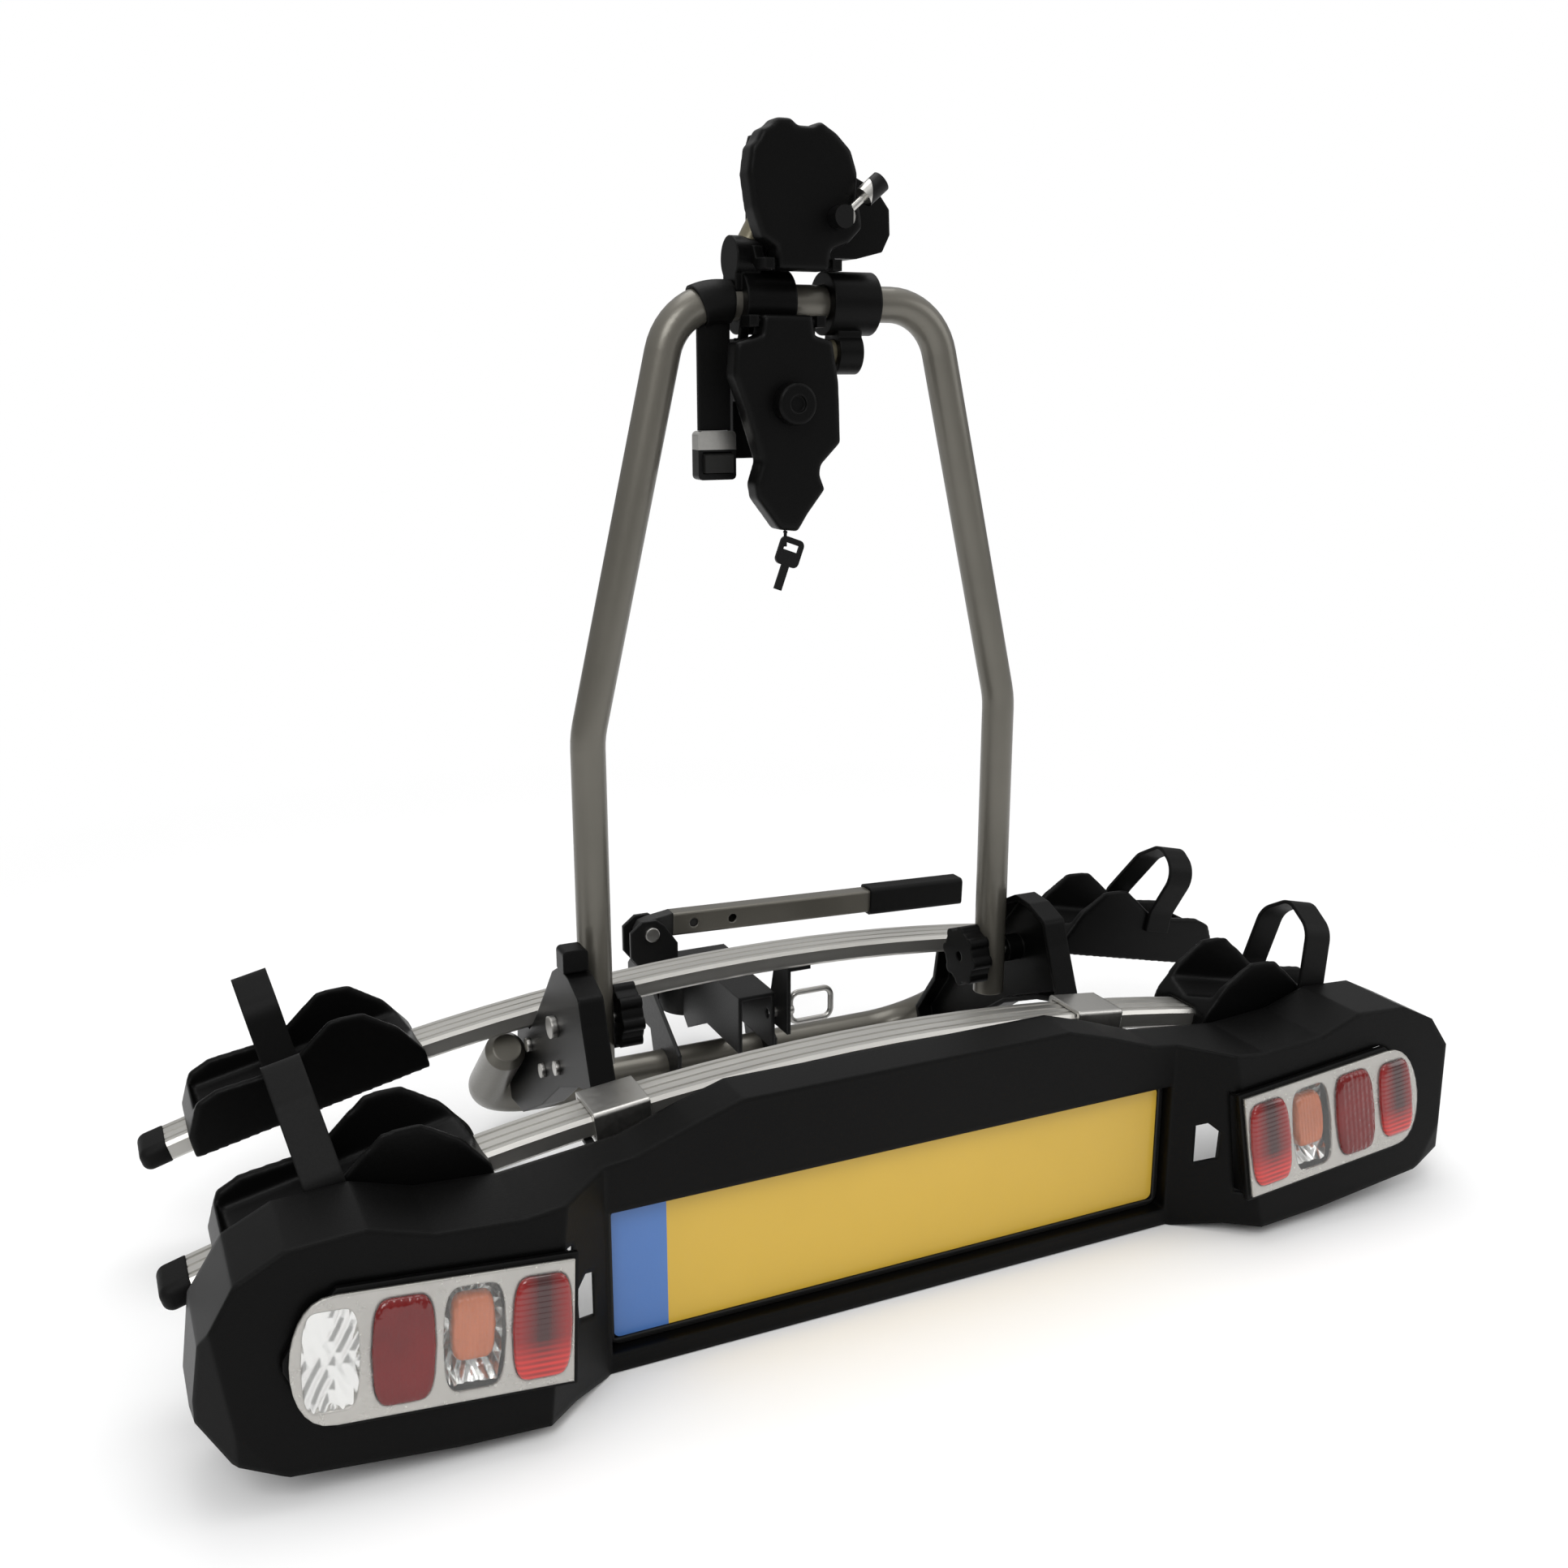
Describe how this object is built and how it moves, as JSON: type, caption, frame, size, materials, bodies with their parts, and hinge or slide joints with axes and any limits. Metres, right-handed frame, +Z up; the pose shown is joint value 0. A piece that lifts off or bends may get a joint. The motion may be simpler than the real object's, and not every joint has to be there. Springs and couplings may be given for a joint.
{
  "type": "tow ball bike rack",
  "caption": "Bike rack that clamps on a tow ball, with a folding bow and frame clamps, arched rails with strapped wheel trays, and a light board round a number plate.",
  "frame": {"origin": "centre of the tow ball in the cup of the coupling", "axes": "+X to the right seen from behind the car and along the rails, +Y forward to the car, +Z up"},
  "size_m": [1.1682, 0.62, 0.952],
  "materials": {
    "dark_steel": "satin dark grey coat",
    "black_steel": "satin black coat",
    "zinc": "zinc plated",
    "rail_metal": "drawn, satin",
    "cast_metal": "cast, dark",
    "black_plastic": "moulded black, fine grain",
    "black_rubber": "soft black",
    "strap_rubber": "smooth black strap",
    "webbing": "woven black webbing",
    "plate_yellow": "yellow sheet, plain blue end band",
    "lens_clear": "moulded clear cover",
    "lens_red": "moulded red",
    "bulb_glass": "coated bulbs on pale holders",
    "lamp_base": "dark moulded lamp body"
  },
  "bodies": {
    "coupling": {"coupling_housing": "black_steel", "ball_cup": "cast_metal", "lever_bracket": "black_steel", "lever_pin": "zinc"},
    "ball_jaw": {"ball_jaw": "cast_metal"},
    "coupling_lever": {"lever_cam": "cast_metal", "lever_tube": "black_steel", "lever_grip": "black_rubber"},
    "platform": {"base_tube": "dark_steel", "hinge_bracket_left": "black_plastic", "hinge_bracket_right": "black_plastic", "fold_bolt_left": "zinc", "fold_bolt_right": "zinc", "rail_rear": "rail_metal", "rail_front": "rail_metal", "caps_rear": "black_rubber", "caps_front": "black_rubber", "rail_clamp_left": "black_plastic", "rail_clamp_right": "black_plastic", "latch_keeper": "black_steel", "light_board": "black_plastic", "number_plate": "plate_yellow", "plate_surround": "black_plastic", "lamp_housing_left": "lamp_base", "lamp_lens_left": "lens_clear", "lamp_red_left": "lens_red", "lamp_bulbs_left": "bulb_glass", "lamp_housing_right": "lamp_base", "lamp_lens_right": "lens_clear", "lamp_red_right": "lens_red", "lamp_bulbs_right": "bulb_glass", "bracket_screws": "zinc", "board_brackets": "black_steel", "bracket_catch": "black_plastic"},
    "tilt_latch": {"latch_handle": "zinc"},
    "bow": {"bow_tube": "dark_steel", "bow_strap": "webbing", "strap_buckle": "black_plastic"},
    "buckle_cam": {"buckle_cam": "zinc"},
    "fold_knob_left": {"fold_knob_left": "black_plastic"},
    "fold_knob_right": {"fold_knob_right": "black_plastic"},
    "upper_arm": {"upper_collar": "black_plastic", "upper_arm_tube": "rail_metal", "upper_clamp": "black_plastic"},
    "upper_jaw": {"upper_jaw": "black_plastic"},
    "upper_crank": {"upper_crank": "zinc"},
    "lower_arm": {"lower_collar": "black_plastic", "lower_arm_tube": "rail_metal", "lower_clamp": "black_plastic"},
    "lower_jaw": {"lower_jaw": "black_plastic"},
    "lower_knob": {"lower_knob": "black_plastic"},
    "key": {"key": "zinc"},
    "tray_rear_left": {"tray_rear_left": "black_plastic", "wheel_strap_rear_left": "strap_rubber"},
    "tray_rear_right": {"tray_rear_right": "black_plastic", "wheel_strap_rear_right": "strap_rubber"},
    "tray_front_left": {"tray_front_left": "black_plastic", "wheel_strap_front_left": "strap_rubber"},
    "tray_front_right": {"tray_front_right": "black_plastic", "wheel_strap_front_right": "strap_rubber"}
  },
  "joints": [
    {"name": "lever_lift", "type": "hinge", "parent": "coupling", "child": "coupling_lever", "pos_m": [-0.051, -0.01, 0.084], "axis": [0, -1, 0], "range_deg": [0, 100]},
    {"name": "jaw_release", "type": "slide", "parent": "coupling", "child": "ball_jaw", "axis": [0, -1, 0], "range_m": [0, 0.006]},
    {"name": "platform_tilt", "type": "hinge", "parent": "coupling", "child": "platform", "pos_m": [0, -0.07, -0.051], "axis": [1, 0, 0], "range_deg": [0, 35]},
    {"name": "latch_pull", "type": "slide", "parent": "platform", "child": "tilt_latch", "axis": [1, 0, 0], "range_m": [0, 0.012], "stiffness_N_per_m": 300, "springref_m": -0.006},
    {"name": "bow_fold", "type": "hinge", "parent": "platform", "child": "bow", "pos_m": [0, -0.3, 0.119], "axis": [1, 0, 0], "range_deg": [0, 78]},
    {"name": "knob_turn_left", "type": "hinge", "parent": "platform", "child": "fold_knob_left", "pos_m": [-0.178, -0.3, 0.119], "axis": [1, 0, 0], "continuous": true},
    {"name": "knob_turn_right", "type": "hinge", "parent": "platform", "child": "fold_knob_right", "pos_m": [0.178, -0.3, 0.119], "axis": [1, 0, 0], "continuous": true},
    {"name": "buckle_open", "type": "hinge", "parent": "bow", "child": "buckle_cam", "pos_m": [-0.085, -0.304, 0.6027], "axis": [-1, 0, 0], "range_deg": [0, 25]},
    {"name": "upper_swivel", "type": "hinge", "parent": "bow", "child": "upper_arm", "pos_m": [0, -0.3, 0.729], "axis": [1, 0, 0], "range_deg": [-30, 15]},
    {"name": "upper_jaw_open", "type": "hinge", "parent": "upper_arm", "child": "upper_jaw", "pos_m": [-0.024, -0.338, 0.758], "axis": [1, 0, 0], "range_deg": [0, 50]},
    {"name": "crank_turn", "type": "hinge", "parent": "upper_jaw", "child": "upper_crank", "pos_m": [0.004, -0.358, 0.793], "axis": [0, -1, 0], "continuous": true},
    {"name": "lower_swivel", "type": "hinge", "parent": "bow", "child": "lower_arm", "pos_m": [0, -0.3, 0.729], "axis": [1, 0, 0], "range_deg": [-30, 0]},
    {"name": "lower_jaw_open", "type": "hinge", "parent": "lower_arm", "child": "lower_jaw", "pos_m": [-0.038, -0.338, 0.712], "axis": [-1, 0, 0], "range_deg": [0, 50]},
    {"name": "lower_knob_turn", "type": "hinge", "parent": "lower_jaw", "child": "lower_knob", "pos_m": [-0.036, -0.356, 0.648], "axis": [0, -1, 0], "continuous": true},
    {"name": "key_swing", "type": "hinge", "parent": "lower_jaw", "child": "key", "pos_m": [-0.037, -0.338, 0.5433], "axis": [0, 1, 0], "range_deg": [-25, 15]},
    {"name": "tray_slide_rear_left", "type": "hinge", "parent": "platform", "child": "tray_rear_left", "pos_m": [0, -0.424, -1.883], "axis": [0, 1, 0], "range_deg": [-0.5, 1.9]},
    {"name": "tray_slide_rear_right", "type": "hinge", "parent": "platform", "child": "tray_rear_right", "pos_m": [0, -0.424, -1.883], "axis": [0, 1, 0], "range_deg": [-1.9, 0.5]},
    {"name": "tray_slide_front_left", "type": "hinge", "parent": "platform", "child": "tray_front_left", "pos_m": [0, -0.193, -1.883], "axis": [0, 1, 0], "range_deg": [-0.5, 1.9]},
    {"name": "tray_slide_front_right", "type": "hinge", "parent": "platform", "child": "tray_front_right", "pos_m": [0, -0.193, -1.883], "axis": [0, 1, 0], "range_deg": [-1.9, 0.5]}
  ],
  "couplings": [
    {"joint": "jaw_release", "follows": "lever_lift", "m_per_rad": 0.003438}
  ]
}
